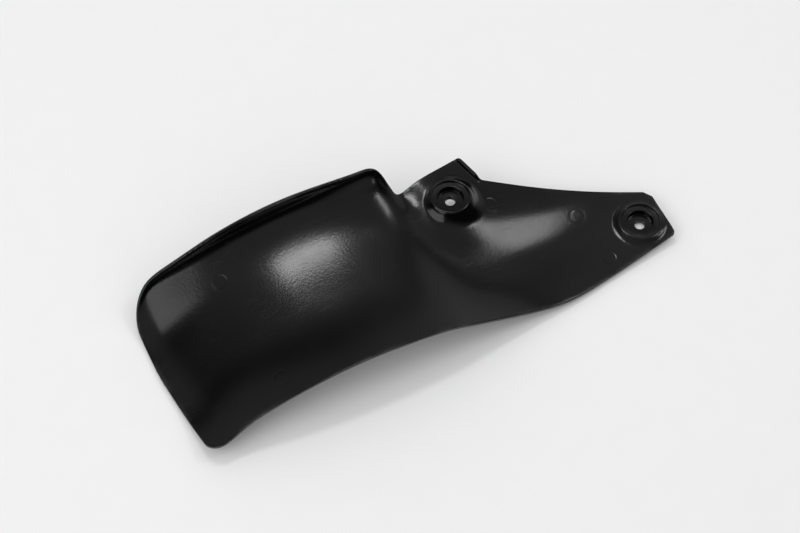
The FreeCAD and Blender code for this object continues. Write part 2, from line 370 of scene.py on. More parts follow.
@dataclass
class Sheet:
    """The flap's doubly curved sheet: its cross-sections, plan outline and heights, in millimetres."""

    wall: float = 2.4
    floor_shift: float = 3.0
    edge_spare: float = 5.0
    far_spare: float = 16.0
    lip_spare: float = 2.0
    tip_spare: float = 3.5
    lip_setback: float = 7.8
    lip_bend_across: float = 10.0
    near_corner_reach: float = 60.3
    near_edge_reach: float = 55.0
    near_waist_place: float = 34.0
    flange_reach: float = 67.5
    flange_clear: float = 4.0
    flange_end_slant: float = 5.2
    rim_corner: float = 4.0
    rim_turn: float = 12.0
    rim_fade: float = 6.0
    notch_run: float = -2.9
    notch_across: float = 51.8
    tab_corner_run: float = 13.2
    tab_reach: float = 62.5
    tab_side_slant: float = 7.2
    tab_foot_across: float = 43.0
    tip_near_reach: float = 40.0
    tip_far_reach: float = 9.6
    tip_chamfer_run: float = 4.0
    tip_chamfer_rise: float = 5.5
    corner_radii: tuple[float, ...] = (30.0, 180.0, 10.0, 90.0, 160.0, 3.0, 1.0, 1.0, 6.0, 5.0, 2.0, 14.0)
    rib_width: float = 2.2
    rib_rise: float = 2.6
    map_step: float = 0.25
    map_margin: float = 1.001
    map_across: Pair = (-70.0, 76.0)
    map_lines: tuple[int, int] = (2001, 1001)
    wall_rounds: int = 12
    fold_ease: float = 8.0
    fold_start: Pair = (-40.0, -16.0)
    fold_stop: Pair = (8.0, 20.0)
    fold_to_tab: Pair = (-9.0, 1.0)
    fold_low: Pair = (-30.0, 5.0)
    fold_flange_top: Pair = (50.0, 66.0)
    fold_tab_top: Pair = (36.0, 52.0)
    near_rails: tuple[Pair, Pair] = ((0.22, 0.55), (0.62, 0.08))
    bank_rail: Pair = (0.55, 0.25)
    wall_rail: Pair = (0.62, 0.46)
    sections: dict[str, Section] = field(default_factory=lambda: {
        "lip_edge": Section(0.0, 2.4, 11.3, -1.8, 26.0, 18.2, 1.0),
        "lip_middle": Section(10.0, 3.5, 11.1, -1.2, 27.5, 16.7, 1.0),
        "lip_root": Section(5.5, 4.5, 10.9, -0.3, 27.3, 15.9, 1.0),
        "ramp_foot": Section(5.5, 6.1, 11.1, 1.1, 26.4, 15.1, 1.0),
        "ramp_low": Section(19.0, 13.3, 9.8, 3.7, 16.8, 12.6, 0.4),
        "ramp": Section(27.0, 21.7, 9.2, 7.0, 9.4, 12.3),
        "crest": Section(40.0, 30.3, 7.9, 7.1, 5.0, 11.4),
        "shoulder": Section(35.0, 29.5, 6.5, 7.0, 11.6, 12.1),
        "wing": Section(24.0, 27.8, 5.3, 3.0, 31.4, 16.4),
        "flange_end": Section(13.0, 24.2, 5.4, 5.2, 45.0, 18.9),
        "groove": Section(9.0, 19.0, 6.4, 3.0, 31.0, 9.5),
        "step": Section(12.0, 14.4, 7.0, 14.4, 47.0, 6.6),
        "tab": Section(22.0, 10.8, 2.3, 15.0, 54.0, 6.0),
        "tab_end": Section(23.0, 8.8, -2.8, 9.9, 48.0, 9.4),
        "valley": Section(29.0, 5.3, -1.5, 8.7, 36.0, 4.2),
        "neck": Section(33.0, 5.9, -1.9, 4.8, 19.0, 2.2),
        "tip_root": Section(20.0, 7.6, -1.6, 3.0, 16.0, 2.2),
        "tip": Section(20.0, 9.2, -1.6, 2.2, 12.5, 2.2),
    })

    def __post_init__(self) -> None:
        """Work out the places along the flap, the corner points and the height map."""
        self.place: dict[str, float] = {}
        place = -self.lip_spare
        for name, section in self.sections.items():
            place += section.run
            self.place[name] = place
        self.tip_end = self.place["tip"] - self.tip_spare
        self.place_corners()
        self.map_heights()

    def place_corners(self) -> None:
        """Set the corners of the plan outline, from the lip round to the flange."""
        rim_line = self.flange_reach + self.flange_clear
        tab_corner = self.place["tab"] + self.tab_corner_run
        notch = self.place["groove"] + self.notch_run
        bend = 0.5 * (self.place["tab_end"] + self.place["valley"])
        tip_far = -self.tip_far_reach
        self.lip_near = (self.lip_setback, -self.near_corner_reach)
        self.near_waist = (self.near_waist_place, -self.near_edge_reach)
        self.near_bend = (bend, -self.near_edge_reach)
        self.tip_near = (self.tip_end, -self.tip_near_reach)
        self.tip_chamfer = (self.tip_end - self.tip_chamfer_run, tip_far + self.tip_chamfer_rise)
        self.tab_foot = (tab_corner + self.tab_side_slant, self.tab_foot_across)
        self.tab_corner = (tab_corner, self.tab_reach)
        self.corners: tuple[Pair, ...] = (
            (0.0, rim_line),
            (0.0, self.lip_bend_across),
            self.lip_near,
            self.near_waist,
            self.near_bend,
            self.tip_near,
            (self.tip_end, tip_far),
            self.tip_chamfer,
            self.tab_foot,
            self.tab_corner,
            (notch, self.notch_across),
            (notch - self.flange_end_slant, rim_line),
        )

    @staticmethod
    def straight(x: float, first: Pair, last: Pair) -> float:
        """Across value at x on the line through two plan points."""
        return first[1] + (x - first[0]) / (last[0] - first[0]) * (last[1] - first[1])

    def near_limit(self, x: float) -> float:
        """Near edge of the sheet, along its straight stretches.

        Args:
            x: Place along the flap.

        Returns:
            The across value of the edge.
        """
        if x < self.near_waist[0]:
            return self.straight(x, self.lip_near, self.near_waist)
        if x < self.near_bend[0]:
            return self.near_waist[1]
        return self.straight(x, self.near_bend, self.tip_near)

    def far_limit(self, x: float) -> float:
        """Rim of the sheet at x: the flange's, then one that clears the tapering far edge."""
        return min(self.flange_reach, self.straight(x, self.tab_foot, self.tip_chamfer) + self.far_spare)

    def section_poles(self, name: str) -> list[Triple]:
        """Control points of one cross-section, from the near edge over the floor and bank to the rim.

        Args:
            name: Name of the section.

        Returns:
            The points, in the plan frame.
        """
        section = self.sections[name]
        x = self.place[name]
        near = self.near_limit(x)
        rim = self.far_limit(x)
        foot = rim - section.wall_run
        middle = 0.5 * (near + foot) - self.floor_shift
        half = middle - near
        (first_share, first_rise), (last_share, last_rise) = self.near_rails
        slope = (1.0 - first_rise) / (first_share * half)
        bank_share, bank_rise = self.bank_rail
        wall_share, wall_rise = self.wall_rail
        top = section.floor + section.bank_rise
        profile = (
            (near - self.edge_spare, section.floor + section.near_rise * (1.0 + slope * self.edge_spare)),
            (near + first_share * half, section.floor + first_rise * section.near_rise),
            (near + last_share * half, section.floor + last_rise * section.near_rise),
            (middle, section.floor),
            (middle + bank_share * (foot - middle), section.floor + bank_rise * section.bank_rise),
            (foot, top),
            (foot + wall_share * section.wall_run, top + wall_rise * section.rim_rise),
            (rim, top + section.rim_rise),
        )
        lean = self.lip_setback / (self.lip_bend_across + self.near_corner_reach)
        return [(x + section.sweep * lean * max(0.0, self.lip_bend_across - y), y, z) for y, z in profile]

    def map_heights(self) -> None:
        """Tabulate the upper surface's height over a fine plan grid."""
        net = np.array([self.section_poles(name) for name in self.sections])
        along, across = (spline_weights(count, np.linspace(0.0, 1.0, lines))
                         for count, lines in zip(net.shape, self.map_lines))
        x_net, y_net, z_net = (along @ net[:, :, k] @ across.T for k in range(3))
        self.x_axis = np.arange(-self.lip_spare, self.place["tip"], self.map_step)
        self.y_axis = np.arange(*self.map_across, self.map_step)
        y_lines, z_lines = (np.array([np.interp(self.x_axis, *pair) for pair in zip(x_net.T, part.T)]).T
                            for part in (y_net, z_net))
        rows = []
        for y_line, z_line in zip(y_lines, z_lines):
            rise = (z_line[-1] - z_line[-4]) / (y_line[-1] - y_line[-4])
            y_long = np.append(y_line, y_line[-1] + self.rim_turn)
            z_long = np.append(z_line, z_line[-1] + self.rim_turn * rise)
            rows.append(np.interp(self.y_axis, y_long, z_long))
        self.heights = self.ease_fold(np.array(rows))
        self.slope_x, self.slope_y = np.gradient(self.heights, self.map_step)

    def ease_fold(self, heights: Points) -> Points:
        """Soften the fold below the notch along the flap.

        Args:
            heights: Heights over the plan grid.

        Returns:
            The heights with the softened fold.
        """
        reach = 3.0 * self.fold_ease
        steps = np.arange(-reach, reach + self.map_step, self.map_step)
        weights = np.exp(-0.5 * (steps / self.fold_ease) ** 2)
        weights /= weights.sum()
        soft = np.array([np.convolve(line, weights, mode="same") for line in heights.T]).T
        past = self.x_axis - self.place["groove"]
        along = smooth_step(*self.fold_start, past) * (1.0 - smooth_step(*self.fold_stop, past))
        to_tab = smooth_step(*self.fold_to_tab, past)[:, None]
        low = smooth_step(*self.fold_low, self.y_axis)
        flange_side = low * (1.0 - smooth_step(*self.fold_flange_top, self.y_axis))
        tab_side = low * (1.0 - smooth_step(*self.fold_tab_top, self.y_axis))
        share = along[:, None] * (flange_side + to_tab * (tab_side - flange_side))
        return heights + share * (soft - heights)

    def read(self, table: Points, plan: Points) -> Points:
        """Read a plan table at plan points, between its grid points.

        Args:
            table: Values over the plan grid.
            plan: Plan points, one per row.

        Returns:
            The value at each point.
        """
        a, b = (np.clip((line - axis[0]) / self.map_step, 0.0, len(axis) - self.map_margin)
                for line, axis in zip(plan.T, (self.x_axis, self.y_axis)))
        i = a.astype(int)
        j = b.astype(int)
        a -= i
        b -= j
        low = table[i, j] * (1.0 - b) + table[i, j + 1] * b
        high = table[i + 1, j] * (1.0 - b) + table[i + 1, j + 1] * b
        return low * (1.0 - a) + high * a

    def height_at(self, point: Pair) -> float:
        """Height of the upper surface at one plan point."""
        return float(self.read(self.heights, np.array([point]))[0])

    def normals(self, plan: Points) -> Points:
        """Upward unit normals of the bare sheet.

        Args:
            plan: Plan points, one per row.

        Returns:
            The normal at each point.
        """
        slopes = [-self.read(slope, plan) for slope in (self.slope_x, self.slope_y)]
        lean = np.stack([*slopes, np.ones(len(plan))], axis=1)
        return lean / np.linalg.norm(lean, axis=1)[:, None]

    def underside(self, plan: Points) -> Points:
        """Points of the lower surface under plan points; along the flange's rim they lie square to the sheet.

        Args:
            plan: Plan points, one per row.

        Returns:
            The points of the lower surface.
        """
        end = self.place["flange_end"]
        on_flange = 1.0 - smooth_step(end - self.rim_fade, end, plan[:, 0])
        square = smooth_step(self.flange_reach - self.rim_turn, self.flange_reach, plan[:, 1]) * on_flange
        above = plan.copy()
        for _ in range(self.wall_rounds):
            lean = self.normals(above)[:, :2]
            above = plan + (1.0 - square)[:, None] * self.wall * lean
        upper = np.column_stack([above, self.read(self.heights, above)])
        return upper - self.wall * self.normals(above)

    def outline(self, steps: int = 14, spacing: float = 1.3) -> tuple[Points, Points]:
        """Rounded plan outline, held back at the flange's rim with soft corners.

        Args:
            steps: Stretches on each rounded corner.
            spacing: Longest stretch between points on a straight run.

        Returns:
            The points in order and the outward direction at each.
        """
        ring: list[Points] = []
        corners = np.array(self.corners)
        before = np.roll(corners, 1, axis=0) - corners
        after = np.roll(corners, -1, axis=0) - corners
        for at, to_last, to_next, radius in zip(corners, before, after, self.corner_radii):
            to_last /= np.linalg.norm(to_last)
            to_next /= np.linalg.norm(to_next)
            half = 0.5 * math.acos(float(np.clip(to_last @ to_next, -1.0, 1.0)))
            inward = (to_last + to_next) / np.linalg.norm(to_last + to_next)
            centre = at + inward * radius / math.sin(half)
            first = at + to_last * radius / math.tan(half) - centre
            last = at + to_next * radius / math.tan(half) - centre
            start = math.atan2(first[1], first[0])
            turn = (math.atan2(last[1], last[0]) - start + math.pi) % (2.0 * math.pi) - math.pi
            for k in range(steps + 1):
                angle = start + turn * k / steps
                ring.append(centre + radius * np.array([math.cos(angle), math.sin(angle)]))
        points = np.array(ring)
        limit = self.flange_reach + 0.25 * self.rim_corner ** 2 / self.flange_clear
        gap = points[:, 1] - limit
        points[:, 1] = limit + 0.5 * (gap - np.hypot(gap, self.rim_corner))
        return self.even_out(points, spacing)

    @staticmethod
    def even_out(points: Points, spacing: float) -> tuple[Points, Points]:
        """Spread points evenly along a closed ring.

        Args:
            points: Corner points of the ring.
            spacing: Longest distance between neighbours.

        Returns:
            The new points and the outward direction at each.
        """
        steps = np.linalg.norm(np.roll(points, -1, axis=0) - points, axis=1)
        points = points[steps > TINY]
        steps = steps[steps > TINY]
        dense: list[Points] = []
        for point, following, step in zip(points, np.roll(points, -1, axis=0), steps):
            parts = max(1, math.ceil(step / spacing))
            dense.extend(point + (following - point) * k / parts for k in range(parts))
        ring = np.array(dense)
        along = np.roll(ring, -1, axis=0) - ring
        along /= np.linalg.norm(along, axis=1)[:, None]
        mean = along + np.roll(along, 1, axis=0)
        mean /= np.linalg.norm(mean, axis=1)[:, None]
        outward = np.column_stack([mean[:, 1], -mean[:, 0]])
        return ring, outward if runs_left(ring) else -outward


@dataclass(frozen=True)
class RoundFeature:
    """Something round on the sheet, placed in plan, in millimetres."""

    centre: Pair
    around: int = field(default=96, kw_only=True)

    def distance(self, plan: Points) -> Points:
        """Distance of plan points from the centre."""
        return np.hypot(plan[:, 0] - self.centre[0], plan[:, 1] - self.centre[1])

    def ring(self, radius: float, turn: float = 0.0) -> Points:
        """Plan points of a ring round the centre, turned by a share of their spacing."""
        angle = 2.0 * np.pi * (np.arange(self.around) + turn) / self.around
        return np.array(self.centre) + radius * np.column_stack([np.cos(angle), np.sin(angle)])


@dataclass(frozen=True)
class ScrewCup(RoundFeature):
    """Stepped screw cup set into the sheet, its heights measured from its rim, in millimetres."""

    rim: float
    pocket_radius: float = 12.3
    pocket_depth: float = 1.7
    recess_radius: float = 8.6
    recess_depth: float = 4.3
    floor: float = 2.5
    wall: float = 2.2
    hole_radius: float = 3.3
    land: float = 0.5
    land_blend: float = 0.3
    shoulder: float = 0.9
    draft: float = 1.25
    mouth_round: float = 0.45
    fillet: float = 0.35
    foot_blend: float = 3.4
    well_gap: float = 0.05
    corner_steps: int = 4

    @property
    def mouth(self) -> float:
        """Radius of the ring where the collar's land meets the rounded mouth."""
        return self.pocket_radius + self.mouth_round

    @property
    def well_radius(self) -> float:
        """Outer radius of the well under the sheet."""
        return self.recess_radius + self.wall

    @property
    def hole_middle(self) -> float:
        """Height of the middle of the screw hole."""
        return self.rim - (self.pocket_depth + self.recess_depth + 0.5 * self.floor)

    @property
    def well_low(self) -> float:
        """Lowest height at which the lower surface may meet the well."""
        base = self.rim - self.pocket_depth - self.recess_depth - self.floor
        return base + self.mouth_round + self.well_gap

    def raise_collar(self, plan: Points, height: Points) -> Points:
        """Blend the collar into the upper surface.

        Args:
            plan: Plan points.
            height: Heights of the sheet there.

        Returns:
            Heights with the collar.
        """
        past = np.clip(self.distance(plan) - self.pocket_radius - self.land, 0.0, None)
        collar = self.rim - self.draft * (np.hypot(past, self.shoulder) - self.shoulder)
        blend = self.land_blend + self.foot_blend * smooth_step(0.0, self.foot_blend, past)
        return smooth_top(collar, height, blend)

    def lower_step(self, plan: Points, height: Points) -> Points:
        """Blend the thickening under the pocket's floor into the lower surface.

        Args:
            plan: Plan points.
            height: Heights of the lower surface there.

        Returns:
            Heights with the thickening.
        """
        past = np.clip(self.distance(plan) - self.pocket_radius - self.wall, 0.0, None)
        step = self.rim - self.pocket_depth - self.wall + self.draft * past
        return -smooth_top(-step, -height, self.mouth_round)

    def profile(self) -> list[Pair]:
        """Radius and depth of the cup's inside and its well, from the mouth to the well's outer wall.

        Returns:
            The points, in order.
        """
        pocket = -self.pocket_depth
        seat = pocket - self.recess_depth
        base = seat - self.floor
        out, into, up, down = (1.0, 0.0), (-1.0, 0.0), (0.0, 1.0), (0.0, -1.0)
        turns = (
            ((self.pocket_radius, 0.0), out, down, self.mouth_round),
            ((self.pocket_radius, pocket), up, into, self.fillet),
            ((self.recess_radius, pocket), out, down, self.fillet),
            ((self.recess_radius, seat), up, into, self.fillet),
            ((self.hole_radius, seat), out, down, self.fillet),
            ((self.hole_radius, base), up, out, self.fillet),
            ((self.well_radius, base), into, up, self.mouth_round),
        )
        points: list[Pair] = []
        for corner, enter, leave, size in turns:
            for k in range(self.corner_steps + 1):
                share = k / self.corner_steps
                before = size * (1.0 - share) ** 2
                after = size * share ** 2
                points.append((corner[0] + enter[0] * before + leave[0] * after,
                               corner[1] + enter[1] * before + leave[1] * after))
        return points[1:]


@dataclass(frozen=True)
class EjectorMark(RoundFeature):
    """Round mark that an ejector pin leaves in the upper side, in millimetres."""

    radius: float = 4.3
    depth: float = 0.07
    wall: Pair = (-0.25, 0.2)
    rim: float = 0.035
    rim_offset: float = 0.45
    rim_width: float = 0.3
    around: int = field(default=40, kw_only=True)

    def press(self, plan: Points, height: Points) -> Points:
        """Press the mark into the upper surface.

        Args:
            plan: Plan points.
            height: Heights of the surface there.

        Returns:
            Heights with the mark.
        """
        past = self.distance(plan) - self.radius
        raised = self.rim * np.exp(-((past - self.rim_offset) / self.rim_width) ** 2)
        return height - self.depth * (1.0 - smooth_step(*self.wall, past)) + raised


class Side(Enum):
    """The two faces of the sheet."""

    UPPER = "upper"
    LOWER = "lower"


@dataclass
class MudFlap:
    """The whole moulding as one closed mesh, in the row's frame."""

    sheet: Sheet
    cups: tuple[ScrewCup, ...]
    marks: tuple[EjectorMark, ...]
    shift: Vector
    finish: SatinPlastic = SatinPlastic()
    edge_round: float = 0.7
    edge_share: float = 0.45
    edge_steps: int = 4
    grid_step: float = 1.9
    rim_step: float = 0.55
    rim_clear: float = 0.6
    ring_clear: float = 0.4
    collar_reach: float = 23.0
    collar_start: float = 0.35
    collar_fine: float = 4.0
    collar_steps: Pair = (0.3, 0.9)
    mark_reach: float = 6.0
    mark_rings: Pair = (1.4, 2.8)
    mark_band: Triple = (-0.4, 1.0, 0.16)
    rib_reach: float = 4.8
    rib_overrun: float = 2.0
    rib_side: Pair = (0.9, 1.5)
    rib_start: Pair = (-1.0, 3.0)
    rib_stop: Pair = (-4.0, 1.0)
    rib_steps: Pair = (0.9, 0.3)
    rib_stagger: float = 0.1
    bead_rise: float = 1.5
    bead_side: Pair = (1.7, 2.9)
    bead_zone: float = 16.0
    bead_fade: Pair = (3.0, 11.0)
    groove_depth: float = 0.7
    groove_wall: Pair = (1.9, 3.3)
    groove_bank: Pair = (4.0, 13.0)
    wear_reach: Pair = (0.5, 2.6)

    def __post_init__(self) -> None:
        """Start with no points and no faces, and lay out the tab's free side."""
        self.points: list[Triple] = []
        self.faces: list[tuple[int, ...]] = []
        self.rib_top = np.array(self.sheet.tab_corner)
        self.rib_length = math.dist(self.sheet.tab_corner, self.sheet.tab_foot)
        self.rib_along = (np.array(self.sheet.tab_foot) - self.rib_top) / self.rib_length
        self.rib_inward = np.array([self.rib_along[1], -self.rib_along[0]])

    def upper(self, plan: Points) -> Points:
        """Points of the upper surface, with the rib, the rim's bead, the collars and the marks.

        Args:
            plan: Plan points.

        Returns:
            The points over them.
        """
        height = self.sheet.read(self.sheet.heights, plan)
        height = height + self.rib(plan) + self.rim_bead(plan)
        for mark in self.marks:
            height = mark.press(plan, height)
        for cup in self.cups:
            height = cup.raise_collar(plan, height)
        return np.column_stack([plan, height])

    def lower(self, plan: Points) -> Points:
        """Points of the lower surface, with the thickening round the cups.

        Args:
            plan: Plan points.

        Returns:
            The points under them.
        """
        under = self.sheet.underside(plan)
        for cup in self.cups:
            under[:, 2] = cup.lower_step(under[:, :2], under[:, 2])
        return under

    def rib_frame(self, plan: Points) -> tuple[Points, Points]:
        """Place of plan points along the tab's free side and their distance inward from it."""
        return (plan - self.rib_top) @ self.rib_along, (plan - self.rib_top) @ self.rib_inward

    def rib(self, plan: Points) -> Points:
        """Rise of the rib along the tab's free side.

        Args:
            plan: Plan points.

        Returns:
            The rise at each.
        """
        place, offset = self.rib_frame(plan)
        flat, side = (share * self.sheet.rib_width for share in self.rib_side)
        across = 1.0 - smooth_step(flat, side, np.abs(offset))
        foot = 1.0 - smooth_step(*self.rib_stop, place - self.rib_length)
        return self.sheet.rib_rise * across * smooth_step(*self.rib_start, place) * foot

    def rib_rows(self) -> Points:
        """Close rows of plan points along the rib.

        Returns:
            The points.
        """
        place_step, offset_step = self.rib_steps
        offsets = np.arange(-offset_step, self.rib_reach, offset_step)
        places = np.arange(-self.rib_reach, self.rib_length + self.rib_overrun, place_step)
        steps = np.stack(np.meshgrid(places, offsets, indexing="ij"), axis=-1)
        steps[1::2, :, 1] += self.rib_stagger
        flat = steps.reshape(-1, 2)
        return self.rib_top + flat[:, :1] * self.rib_along + flat[:, 1:] * self.rib_inward

    def rim_bead(self, plan: Points) -> Points:
        """Change of height along the flange's rim: a level bead with a fine groove inside it.

        Args:
            plan: Plan points.

        Returns:
            The change at each.
        """
        sheet = self.sheet
        ring = sheet.outline()[0]
        rim = (ring[:, 1] > sheet.notch_across + self.bead_fade[0]) & (ring[:, 0] < sheet.place["groove"])
        rim &= np.roll(rim, -1)
        near = (plan[:, 1] > sheet.notch_across - self.bead_zone) & (plan[:, 0] < sheet.place["groove"])
        close = plan[near]
        apart = apart_from(close, ring[rim], np.roll(ring, -1, axis=0)[rim])
        slope = np.hypot(sheet.read(sheet.slope_x, close), sheet.read(sheet.slope_y, close))
        level = np.minimum(slope * apart, self.bead_rise) * (1.0 - smooth_step(*self.bead_side, apart))
        sunk = smooth_step(*self.groove_wall, apart) * (1.0 - smooth_step(*self.groove_bank, apart))
        change = np.zeros(len(plan))
        fade = smooth_step(*self.bead_fade, close[:, 1] - sheet.notch_across)
        change[near] = fade * (level - self.groove_depth * sunk)
        return change

    def scatter(self, side: Side, edge: Points) -> tuple[list[Points], list[Points]]:
        """Plan points of one face inside its edge.

        Args:
            side: Face to fill.
            edge: Plan points of the face's edge.

        Returns:
            The loose points in groups, and the rings that bound the cups' openings.
        """
        after = np.roll(edge, -1, axis=0)
        columns = np.arange(edge[:, 0].min(), edge[:, 0].max(), self.grid_step)
        start = self.sheet.flange_reach - self.sheet.rim_turn
        rows = np.concatenate([np.arange(edge[:, 1].min(), start, self.grid_step),
                               np.arange(start, edge[:, 1].max(), self.rim_step)])
        grid = np.stack(np.meshgrid(columns, rows, indexing="ij"), axis=-1)
        grid[:, 1::2, 0] += 0.5 * self.grid_step
        loose = grid.reshape(-1, 2)
        loose = loose[inside(loose, edge)]
        loose = loose[apart_from(loose, edge, after) > self.rim_clear * self.rim_step]
        groups: list[Points] = []
        bounds: list[Points] = []
        fine_step, wide_step = self.collar_steps
        if side is Side.UPPER:
            place, offset = self.rib_frame(loose)
            off_rib = (place < -self.rib_reach) | (place > self.rib_length + self.rib_overrun)
            loose = loose[(np.abs(offset) > self.rib_reach) | off_rib]
            groups.append(self.rib_rows())
        for cup in self.cups:
            loose = loose[cup.distance(loose) > self.collar_reach]
            inner = cup.mouth if side is Side.UPPER else cup.well_radius
            bounds.append(cup.ring(inner))
            end = cup.pocket_radius + cup.land
            fine_end = end + self.collar_fine
            radii = [inner + self.collar_start, *np.arange(end, fine_end, fine_step),
                     *np.arange(fine_end, self.collar_reach, wide_step)]
            groups.extend(cup.ring(radius, 0.5 * (k % 2)) for k, radius in enumerate(radii))
        if side is Side.UPPER:
            first, last, step = self.mark_band
            for mark in self.marks:
                loose = loose[mark.distance(loose) > self.mark_reach]
                radii = [*self.mark_rings, *np.arange(mark.radius + first, mark.radius + last, step)]
                groups.extend(mark.ring(radius, 0.5 * (k % 2)) for k, radius in enumerate(radii))
        kept = [loose]
        for group in groups:
            clear = apart_from(group, edge, after) > self.ring_clear
            kept.append(group[inside(group, edge) & clear])
        return kept, bounds

    def add_points(self, points: Points) -> list[int]:
        """Add points in the plan frame.

        Args:
            points: The points, one per row.

        Returns:
            Their numbers.
        """
        first = len(self.points)
        self.points.extend(map(tuple, points))
        return list(range(first, len(self.points)))

    def add_band(self, first: list[int], last: list[int]) -> None:
        """Join two closed rings of points by a band of faces.

        Args:
            first: Numbers of the points of one ring.
            last: Numbers of the points of the other ring.
        """
        count = len(first)
        for k in range(count):
            after = (k + 1) % count
            self.faces.append((first[k], first[after], last[after], last[k]))

    def fill(self, side: Side, edge: Points) -> tuple[list[int], list[list[int]]]:
        """Mesh one face of the sheet.

        Args:
            side: Face to mesh.
            edge: Plan points of the face's edge, in order.

        Returns:
            Numbers of the edge's points, and of the points of each cup's ring.
        """
        loose, bounds = self.scatter(side, edge)
        rings = [edge, *bounds]
        starts = np.cumsum([0, *map(len, rings)]).tolist()
        fixed = [(start + k, start + (k + 1) % len(ring))
                 for start, ring in zip(starts, rings) for k in range(len(ring))]
        plan = np.concatenate([*rings, *loose])
        made, _, found, origin, _, _ = delaunay_2d_cdt([Vector(p) for p in plan], fixed, [], 0, TINY)
        flat = np.array([tuple(p) for p in made])
        triangles = np.array(found)
        where = {source: k for k, sources in enumerate(origin) for source in sources}
        loops = [[where[start + k] for k in range(len(ring))] for start, ring in zip(starts, rings)]
        middle = flat[triangles].mean(axis=1)
        wanted = inside(middle, edge)
        for ring in bounds:
            wanted &= ~inside(middle, ring)
        order = np.full(len(flat), -1)
        order[loops[0]] = np.arange(len(edge))
        first, second, third = order[triangles].T
        on_edge = np.minimum(np.minimum(first, second), third) >= 0
        forward = ((first < second).astype(int) + (second < third) + (third < first)) == 2
        wanted[on_edge] = forward[on_edge] == runs_left(edge)
        place = self.upper if side is Side.UPPER else self.lower
        numbers = self.add_points(place(flat))
        for triangle in triangles[wanted]:
            face = tuple(numbers[k] for k in triangle)
            self.faces.append(face if side is Side.UPPER else face[::-1])
        named = [[numbers[k] for k in loop] for loop in loops]
        return named[0], named[1:]

    def close_edge(self, upper: list[int], lower: list[int], edge: Points) -> None:
        """Round the sheet's edge from its upper to its lower face.

        Args:
            upper: Numbers of the upper face's edge points.
            lower: Numbers of the lower face's edge points.
            edge: Plan points of the true outline.
        """
        top = self.upper(edge)
        base = self.lower(edge)
        down = base - top
        depth = np.linalg.norm(down, axis=1)
        down /= depth[:, None]
        soft = np.minimum(self.edge_round, self.edge_share * depth)[:, None]
        start = np.array([self.points[k] for k in upper])
        finish = np.array([self.points[k] for k in lower])
        last = upper
        turns = ((start, top, top + soft * down), (base - soft * down, base, finish))
        for number, (enter, corner, leave) in enumerate(turns):
            for k in range(self.edge_steps):
                share = (k + 1 - number) / self.edge_steps
                bend = enter * (1 - share) ** 2 + 2 * corner * share * (1 - share) + leave * share ** 2
                ring = self.add_points(bend)
                self.add_band(ring, last)
                last = ring
        self.add_band(lower, last)

    def close_cup(self, cup: ScrewCup, mouth: list[int], well: list[int]) -> None:
        """Turn a cup's inside and its well between the two faces.

        Args:
            cup: The cup.
            mouth: Numbers of the points of its mouth, in the upper face.
            well: Numbers of the points of its well, in the lower face.
        """
        last = mouth
        over = np.array([self.points[k][2] for k in mouth]) - cup.rim
        for radius, depth in cup.profile():
            share = max(0.0, 1.0 + depth / cup.pocket_depth)
            ring = self.add_points(np.column_stack([cup.ring(radius), cup.rim + depth + share * over]))
            self.add_band(last, ring)
            last = ring
        for k in well:
            x, y, z = self.points[k]
            self.points[k] = (x, y, max(z, cup.well_low))
        self.add_band(last, well)

    def mark_edges(self, mesh: bpy.types.Mesh, outline: Points) -> None:
        """Store how near each point lies to the sheet's edge or to a cup's mouth.

        Args:
            mesh: The flap's mesh.
            outline: Plan points of the outline.
        """
        plan = np.array(self.points)[:, :2]
        apart = apart_from(plan, outline, np.roll(outline, -1, axis=0))
        for cup in self.cups:
            apart = np.minimum(apart, np.abs(cup.distance(plan) - cup.pocket_radius))
        share = 1.0 - smooth_step(*self.wear_reach, apart)
        layer = mesh.attributes.new("edge_share", "FLOAT", "POINT")
        layer.data.foreach_set("value", share.astype(np.float32))

    def build(self) -> bpy.types.Object:
        """Build the flap's mesh, held inside the row's box.

        Returns:
            The flap as an object.
        """
        outline, outward = self.sheet.outline()
        inset = outline - self.edge_round * outward
        upper_edge, mouths = self.fill(Side.UPPER, inset)
        lower_edge, wells = self.fill(Side.LOWER, inset)
        self.close_edge(upper_edge, lower_edge, outline)
        for cup, mouth, well in zip(self.cups, mouths, wells):
            self.close_cup(cup, mouth, well)
        places = np.array(self.points) * METRE + np.array(self.shift)
        places = np.clip(places, np.array(CAD_BOX[0]), np.array(CAD_BOX[1]))
        mesh = bpy.data.meshes.new("mud_flap_skin")
        mesh.from_pydata(places.tolist(), [], self.faces)
        self.mark_edges(mesh, outline)
        mesh.validate()
        mesh.polygons.foreach_set("use_smooth", [True] * len(mesh.polygons))
        mesh.update()
        return add_object("mud_flap_skin", mesh)

    def dress(self, skin: bpy.types.Object) -> None:
        """Give the flap its finish and its place in the row.

        Args:
            skin: The flap.
        """
        skin.data.materials.append(self.finish.material())
        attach(skin, "root")
        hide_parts("mud_flap")


